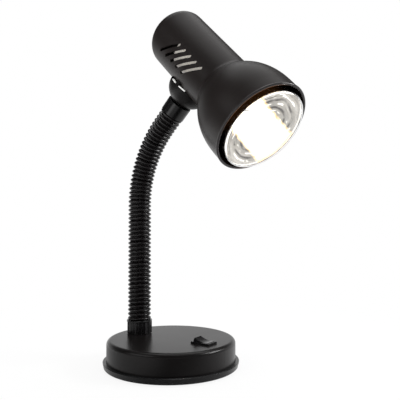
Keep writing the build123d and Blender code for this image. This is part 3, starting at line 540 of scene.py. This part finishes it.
def saddleGlides():
    # pale glide strips on the saddle's rim, two on each side, with the lugs between them; their
    # nylon has a painted glow
    settings = glideSettings
    up = headSettings["neckLine"].normalized()
    side = up.cross(mouthAxis).normalized()
    turned = Matrix((side.cross(up), side, up)).transposed().to_4x4()
    place = Matrix.Translation(settings["neckEnd"]) @ turned
    inner, outer, foot, top = (settings[name] for name in ("inner", "outer", "foot", "top"))
    section = Matrix.Translation(Vector((outer + inner, 0, top + foot)) / 2)
    section = section @ Matrix.Rotation(radians(90), 4, "X")
    section = section @ Matrix.Diagonal((outer - inner, top - foot, 1, 1))
    bm = bmesh.new()
    for flip in (1, -1):
        for first, last in settings["arcs"]:
            turn = Matrix.Rotation(flip * radians(first), 4, "Z")
            grid = bmesh.ops.create_grid(bm, x_segments=1, y_segments=1, size=0.5,
                                         matrix=place @ turn @ section)
            face = grid["verts"][0].link_faces[0]
            bmesh.ops.spin(bm, geom=[face] + face.edges[:] + face.verts[:],
                           cent=place.translation, axis=up, angle=flip * radians(last - first),
                           steps=settings["steps"], use_duplicate=False)
    bmesh.ops.recalc_face_normals(bm, faces=bm.faces)
    piece = newPiece(bm, "saddleGlides", glideNylon)
    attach(piece, "head")


saddleGlides()
print("saddle glides made")


ridgeSettings = {"count": 7, "first": -68, "radius": 0.75 * mm, "circle": 12.0 * mm,
                 "foot": 27.4 * mm, "height": 12.6 * mm, "segments": 16}


def collarRidges():
    # upright ridges round the lower collar, coloured lighter than it as a painted highlight
    settings = ridgeSettings
    bm = bmesh.new()
    for number in range(settings["count"]):
        angle = radians(settings["first"] + 360 * number / settings["count"])
        spot = Vector((cos(angle), sin(angle), 0)) * settings["circle"]
        spot += Vector((neckSettings["foot"].x, 0, settings["foot"] + settings["height"] / 2))
        bmesh.ops.create_cone(bm, cap_ends=True, segments=settings["segments"],
                              radius1=settings["radius"], radius2=settings["radius"],
                              depth=settings["height"], matrix=Matrix.Translation(spot))
    piece = newPiece(bm, "collarRidges", ridgeHighlightPlastic)
    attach(piece, "base")


collarRidges()
print("collar ridges made")


# the neck's cores aren't listed, and take the zinc plating
nodeFinishes = {
    "base_cover": coverPaint, "base_pan": panPlastic, "base_pad": padRubber,
    "ballast": ballastIron, "pan_screws": zincSteel, "cord_grommet": panPlastic,
    "lower_collar": collarPlastic, "lower_ferrule": zincSteel, "lower_washer": zincSteel,
    "lower_nut": zincSteel, "switch_housing": switchPlastic, "switch_terminals": brass,
    "switch_rocker": switchPlastic, "terminal_block": blockPlastic,
    "terminal_screws": zincSteel, "upper_collar": collarPlastic, "upper_ferrule": zincSteel,
    "head_nipple": zincSteel, "saddle": saddlePlastic, "saddle_washer": polishedSteel,
    "shade_washer": zincSteel, "head_nuts": zincSteel, "shade": shadePaint,
    "holder_bracket": zincSteel, "holder_nipple": zincSteel, "holder_body": holderGlaze,
    "holder_shell": brass, "holder_contact": brass, "bulb_glass": bulbClear,
    "bulb_mirror": bulbSilver, "bulb_cap": capMetal, "bulb_stem": bulbClear,
    "bulb_filament": tungsten,
}
for name, node in nodes.items():
    node.data.materials.clear()
    node.data.materials.append(nodeFinishes.get(name, zincSteel))
print("finishes set")


leftSide = (-0.816, -0.578, 0.0)
floorSettings = {"size": 8.0, "colour": (0.93, 0.93, 0.93, 1.0), "white": 0.88,
                 "shadowReach": (0.12, 0.4), "behind": (-0.1, 1.0, 0.0),
                 "behindReach": (-0.11, 0.07), "behindGloss": (0.02, 0.95),
                 "farReach": (0.2, 0.6), "farGloss": 0.8, "nearReach": (-0.01, 0.08),
                 "nearGloss": 0.6, "leftReach": (0.25, 0.7), "leftGloss": 1.3}


def floorPaper():
    # the paper is lit near the lamp, where its shadow falls, and plain white further out
    paper = newFinish("studioPaper")
    settings = floorSettings
    away = paper.node("ShaderNodeVectorMath", {"operation": "LENGTH"}, {0: paper.place}, "Value")
    clear = away.rise(*settings["shadowReach"], settings["white"], 1.0)
    seen = paper.node("ShaderNodeLightPath", {}, {}, "Is Camera Ray")
    matt = paper.node("ShaderNodeBsdfDiffuse", {}, {"Color": settings["colour"]}, "BSDF")
    white = paper.node("ShaderNodeEmission", {}, {"Color": plainWhite, "Strength": 1.0},
                       "Emission")
    mixed = paper.node("ShaderNodeMixShader", {}, {0: seen * clear, 1: matt, 2: white}, "Shader")
    # gloss on the lamp sees a table that is dark in front, and lit behind, at the left and
    # far out
    glossy = paper.node("ShaderNodeLightPath", {}, {}, "Is Glossy Ray")
    behind = paper.along(paper.place, settings["behind"])
    beside = paper.along(paper.place, leftSide)
    level = behind.rise(*settings["behindReach"], *settings["behindGloss"])
    level = level.maths("MAXIMUM", away.rise(*settings["farReach"], 0.0, settings["farGloss"]))
    near = beside.rise(*settings["nearReach"], 0.0, settings["nearGloss"])
    level = level.maths("MAXIMUM", near)
    level = level + beside.rise(*settings["leftReach"], 0.0, settings["leftGloss"])
    table = paper.node("ShaderNodeEmission", {}, {"Strength": level}, "Emission")
    mixed = paper.node("ShaderNodeMixShader", {}, {0: glossy, 1: mixed, 2: table}, "Shader")
    return paper.surface(mixed)


def studioFloor():
    bm = bmesh.new()
    bmesh.ops.create_grid(bm, x_segments=1, y_segments=1, size=floorSettings["size"] / 2)
    floor = newPiece(bm, "studioFloor", floorPaper())


skySettings = {"light": 0.5, "behind": (-0.45, 0.88, 0.0), "behindFrom": (-0.05, 0.9),
               "frontGloss": 0.07, "leftFrom": (0.4, 0.9), "leftGloss": 0.12,
               "horizon": (0.16, 0.5), "aboveGloss": 0.10}


def studioWorld():
    # white as seen; a dim room lights the lamp, and gloss sees white behind it, a little at the
    # left, and dark in front and above
    sky = Finish(bpy.data.worlds.new("studioWorld"), "World", "Generated")
    settings = skySettings
    behind = sky.along(sky.place, settings["behind"])
    beside = sky.along(sky.place, leftSide)
    height = sky.along(sky.place, (0.0, 0.0, 1.0))
    mirrored = behind.rise(*settings["behindFrom"], settings["frontGloss"], 1.0)
    left = beside.rise(*settings["leftFrom"], 0.0, settings["leftGloss"])
    mirrored = mirrored.maths("MAXIMUM", left)
    mirrored = mirrored * height.rise(*settings["horizon"], 1.0, settings["aboveGloss"])
    path = {name: sky.node("ShaderNodeLightPath", {}, {}, name)
            for name in ("Is Camera Ray", "Is Glossy Ray", "Is Transmission Ray")}
    shiny = path["Is Glossy Ray"].maths("MAXIMUM", path["Is Transmission Ray"])
    level = shiny * mirrored + (1 - shiny) * settings["light"]
    level = level.maths("MAXIMUM", path["Is Camera Ray"])
    background = sky.node("ShaderNodeBackground", {}, {"Color": plainWhite, "Strength": level},
                          "Background")
    bpy.context.scene.world = sky.surface(background)


softboxAim = Vector((0, 0, 0.17))
softboxSettings = {
    "leftSoftbox": {"azimuth": -108, "height": 0.85, "away": 1.25, "size": (1.1, 0.35),
                    "power": 3},
    "rightSoftbox": {"azimuth": 34, "height": 0.8, "away": 1.25, "size": (0.6, 0.3),
                     "power": 10},
    "topSoftbox": {"azimuth": 90, "height": 1.7, "away": 0.3, "size": (1.6, 1.6), "power": 14},
}


def turnedAlong(direction):
    # lights and cameras look along their own -Z
    return direction.to_track_quat("-Z", "Y").to_euler()


def studioSoftbox(name, settings):
    light = bpy.data.lights.new(name, "AREA")
    light.shape = "RECTANGLE"
    light.size, light.size_y = settings["size"]
    light.energy = settings["power"]
    softbox = bpy.data.objects.new(name, light)
    bpy.context.scene.collection.objects.link(softbox)
    angle = radians(settings["azimuth"])
    softbox.location = Vector((cos(angle), sin(angle), 0)) * settings["away"]
    softbox.location.z = settings["height"]
    softbox.rotation_euler = turnedAlong(softboxAim - softbox.location)


def studioCamera():
    settings = cameraSettings
    lens = bpy.data.cameras.new("photoView")
    lens.sensor_width = settings["sensor"]
    lens.lens = settings["zoom"] * settings["sensor"]
    lens.clip_start = settings["nearest"]
    camera = bpy.data.objects.new("photoView", lens)
    bpy.context.scene.collection.objects.link(camera)
    camera.location = settings["place"]
    camera.rotation_euler = turnedAlong(settings["view"])
    bpy.context.scene.camera = camera


studioFloor()
studioWorld()
for name, settings in softboxSettings.items():
    studioSoftbox(name, settings)
studioCamera()
bpy.context.scene.view_settings.view_transform = "Standard"
print("studio set")
